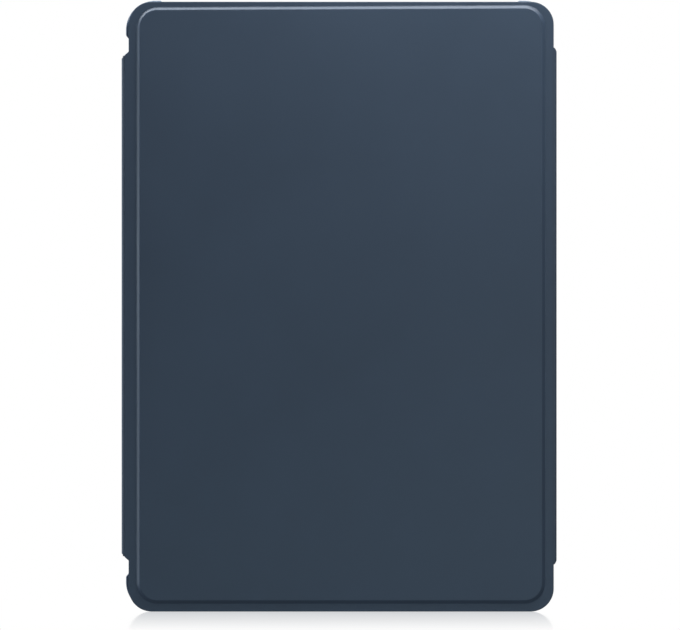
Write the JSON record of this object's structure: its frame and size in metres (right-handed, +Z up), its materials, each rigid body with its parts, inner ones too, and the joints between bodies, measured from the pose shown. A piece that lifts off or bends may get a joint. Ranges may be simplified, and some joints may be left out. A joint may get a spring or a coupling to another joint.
{
  "type": "tablet keyboard case",
  "caption": "Folding book case for a tablet, with a soft bumper tray, a removable keyboard inside the raised cover, a closing flap and a fold-out back stand.",
  "frame": {"origin": "middle of the bottom edge on which the closed case stands", "axes": "+X to the right of the closed cover, +Y from the cover to the back, +Z up along the case's long side"},
  "size_m": [0.1816, 0.023, 0.2552],
  "materials": {
    "navy_soft_plastic": "satin",
    "navy_leather": "matte",
    "grey_lining": "matte",
    "stiff_board": "matte",
    "foam": "matte",
    "magnet": "satin",
    "steel": "satin",
    "black_gloss_plastic": "gloss",
    "dark_grey_plastic": "matte",
    "black_plastic": "matte",
    "rubber": "matte",
    "circuit_board": "satin",
    "battery_foil": "satin",
    "light_pipe": "gloss",
    "touchpad_surface": "satin"
  },
  "bodies": {
    "back": {"tray_frame": "navy_soft_plastic", "tray_lining": "grey_lining", "camera_ring": "black_gloss_plastic", "back_plate": "stiff_board", "back_skin": "navy_leather", "back_magnets": "magnet", "stand_hinge_brackets": "steel", "stand_hinge_pins": "steel", "stand_catch_plates": "steel"},
    "power_button": {"power_button": "navy_soft_plastic"},
    "volume_up_button": {"volume_up_button": "navy_soft_plastic"},
    "volume_down_button": {"volume_down_button": "navy_soft_plastic"},
    "stand": {"stand_leaf": "stiff_board", "stand_skin": "navy_leather", "stand_magnets": "magnet"},
    "spine": {"spine_board": "stiff_board", "spine_skin": "navy_leather", "spine_lining": "grey_lining"},
    "cover": {"cover_board": "stiff_board", "cover_pad": "foam", "cover_skin": "navy_leather", "cover_lining": "grey_lining", "cover_magnets": "magnet"},
    "flap": {"flap_board": "stiff_board", "flap_skin": "navy_leather", "flap_lining": "grey_lining", "flap_magnets": "magnet"},
    "keyboard": {"keyboard_base": "dark_grey_plastic", "keyboard_deck": "dark_grey_plastic", "key_guide_plate": "steel", "dome_sheet": "rubber", "circuit_board": "circuit_board", "control_board": "circuit_board", "controller_chip": "black_plastic", "battery_cell": "battery_foil", "charging_port": "steel", "indicator_lights": "light_pipe", "touchpad_switch": "steel", "keyboard_steel_plates": "steel", "keyboard_feet": "rubber", "keyboard_screws": "steel"},
    "power_switch": {"power_switch": "black_plastic"},
    "touchpad": {"touchpad": "touchpad_surface"},
    "function_keys": {"function_keys": "black_plastic"},
    "number_keys": {"number_keys": "black_plastic"},
    "upper_letter_keys": {"upper_letter_keys": "black_plastic"},
    "home_letter_keys": {"home_letter_keys": "black_plastic"},
    "lower_letter_keys": {"lower_letter_keys": "black_plastic"},
    "modifier_keys": {"modifier_keys": "black_plastic"},
    "backspace_key": {"backspace_key": "black_plastic"},
    "tab_key": {"tab_key": "black_plastic"},
    "caps_lock_key": {"caps_lock_key": "black_plastic"},
    "enter_key": {"enter_key": "black_plastic"},
    "left_shift_key": {"left_shift_key": "black_plastic"},
    "right_shift_key": {"right_shift_key": "black_plastic"},
    "space_bar": {"space_bar": "black_plastic"},
    "left_arrow_key": {"left_arrow_key": "black_plastic"},
    "up_arrow_key": {"up_arrow_key": "black_plastic"},
    "down_arrow_key": {"down_arrow_key": "black_plastic"},
    "right_arrow_key": {"right_arrow_key": "black_plastic"}
  },
  "joints": [
    {"name": "spine_fold", "type": "hinge", "parent": "back", "child": "spine", "pos_m": [-0.09083, 0.0115, 0.1276], "axis": [0, 0, -1], "range_deg": [0, 90]},
    {"name": "cover_fold", "type": "hinge", "parent": "spine", "child": "cover", "pos_m": [-0.09083, -0.0103, 0.1276], "axis": [0, 0, -1], "range_deg": [0, 180]},
    {"name": "flap_fold", "type": "hinge", "parent": "cover", "child": "flap", "pos_m": [0.09083, -0.0103, 0.1276], "axis": [0, 0, -1], "range_deg": [0, 90]},
    {"name": "stand_hinge", "type": "hinge", "parent": "back", "child": "stand", "pos_m": [0.00028, 0.0101, 0.1276], "axis": [0, 0, -1], "range_deg": [0, 110]},
    {"name": "keyboard_lift", "type": "slide", "parent": "cover", "child": "keyboard", "axis": [0, 0, 1], "range_m": [0, 0.26]},
    {"name": "power_button_press", "type": "slide", "parent": "back", "child": "power_button", "axis": [0, 0, -1], "range_m": [0, 0.0003], "stiffness_N_per_m": 3000},
    {"name": "volume_up_press", "type": "slide", "parent": "back", "child": "volume_up_button", "axis": [-1, 0, 0], "range_m": [0, 0.0003], "stiffness_N_per_m": 3000},
    {"name": "volume_down_press", "type": "slide", "parent": "back", "child": "volume_down_button", "axis": [-1, 0, 0], "range_m": [0, 0.0003], "stiffness_N_per_m": 3000},
    {"name": "power_switch_slide", "type": "slide", "parent": "keyboard", "child": "power_switch", "axis": [-1, 0, 0], "range_m": [0, 0.0025]},
    {"name": "touchpad_click", "type": "slide", "parent": "keyboard", "child": "touchpad", "axis": [0, -1, 0], "range_m": [0, 0.0003], "stiffness_N_per_m": 4000},
    {"name": "function_keys_press", "type": "slide", "parent": "keyboard", "child": "function_keys", "axis": [0, -1, 0], "range_m": [0, 0.0012], "stiffness_N_per_m": 400, "springref_m": -0.0005, "deforming": ["dome_sheet"]},
    {"name": "number_keys_press", "type": "slide", "parent": "keyboard", "child": "number_keys", "axis": [0, -1, 0], "range_m": [0, 0.0012], "stiffness_N_per_m": 400, "springref_m": -0.0005, "deforming": ["dome_sheet"]},
    {"name": "upper_letter_keys_press", "type": "slide", "parent": "keyboard", "child": "upper_letter_keys", "axis": [0, -1, 0], "range_m": [0, 0.0012], "stiffness_N_per_m": 400, "springref_m": -0.0005, "deforming": ["dome_sheet"]},
    {"name": "home_letter_keys_press", "type": "slide", "parent": "keyboard", "child": "home_letter_keys", "axis": [0, -1, 0], "range_m": [0, 0.0012], "stiffness_N_per_m": 400, "springref_m": -0.0005, "deforming": ["dome_sheet"]},
    {"name": "lower_letter_keys_press", "type": "slide", "parent": "keyboard", "child": "lower_letter_keys", "axis": [0, -1, 0], "range_m": [0, 0.0012], "stiffness_N_per_m": 400, "springref_m": -0.0005, "deforming": ["dome_sheet"]},
    {"name": "modifier_keys_press", "type": "slide", "parent": "keyboard", "child": "modifier_keys", "axis": [0, -1, 0], "range_m": [0, 0.0012], "stiffness_N_per_m": 400, "springref_m": -0.0005, "deforming": ["dome_sheet"]},
    {"name": "backspace_key_press", "type": "slide", "parent": "keyboard", "child": "backspace_key", "axis": [0, -1, 0], "range_m": [0, 0.0012], "stiffness_N_per_m": 400, "springref_m": -0.0005, "deforming": ["dome_sheet"]},
    {"name": "tab_key_press", "type": "slide", "parent": "keyboard", "child": "tab_key", "axis": [0, -1, 0], "range_m": [0, 0.0012], "stiffness_N_per_m": 400, "springref_m": -0.0005, "deforming": ["dome_sheet"]},
    {"name": "caps_lock_key_press", "type": "slide", "parent": "keyboard", "child": "caps_lock_key", "axis": [0, -1, 0], "range_m": [0, 0.0012], "stiffness_N_per_m": 400, "springref_m": -0.0005, "deforming": ["dome_sheet"]},
    {"name": "enter_key_press", "type": "slide", "parent": "keyboard", "child": "enter_key", "axis": [0, -1, 0], "range_m": [0, 0.0012], "stiffness_N_per_m": 400, "springref_m": -0.0005, "deforming": ["dome_sheet"]},
    {"name": "left_shift_key_press", "type": "slide", "parent": "keyboard", "child": "left_shift_key", "axis": [0, -1, 0], "range_m": [0, 0.0012], "stiffness_N_per_m": 400, "springref_m": -0.0005, "deforming": ["dome_sheet"]},
    {"name": "right_shift_key_press", "type": "slide", "parent": "keyboard", "child": "right_shift_key", "axis": [0, -1, 0], "range_m": [0, 0.0012], "stiffness_N_per_m": 400, "springref_m": -0.0005, "deforming": ["dome_sheet"]},
    {"name": "space_bar_press", "type": "slide", "parent": "keyboard", "child": "space_bar", "axis": [0, -1, 0], "range_m": [0, 0.0012], "stiffness_N_per_m": 400, "springref_m": -0.0005, "deforming": ["dome_sheet"]},
    {"name": "left_arrow_key_press", "type": "slide", "parent": "keyboard", "child": "left_arrow_key", "axis": [0, -1, 0], "range_m": [0, 0.0012], "stiffness_N_per_m": 400, "springref_m": -0.0005, "deforming": ["dome_sheet"]},
    {"name": "up_arrow_key_press", "type": "slide", "parent": "keyboard", "child": "up_arrow_key", "axis": [0, -1, 0], "range_m": [0, 0.0012], "stiffness_N_per_m": 400, "springref_m": -0.0005, "deforming": ["dome_sheet"]},
    {"name": "down_arrow_key_press", "type": "slide", "parent": "keyboard", "child": "down_arrow_key", "axis": [0, -1, 0], "range_m": [0, 0.0012], "stiffness_N_per_m": 400, "springref_m": -0.0005, "deforming": ["dome_sheet"]},
    {"name": "right_arrow_key_press", "type": "slide", "parent": "keyboard", "child": "right_arrow_key", "axis": [0, -1, 0], "range_m": [0, 0.0012], "stiffness_N_per_m": 400, "springref_m": -0.0005, "deforming": ["dome_sheet"]}
  ]
}
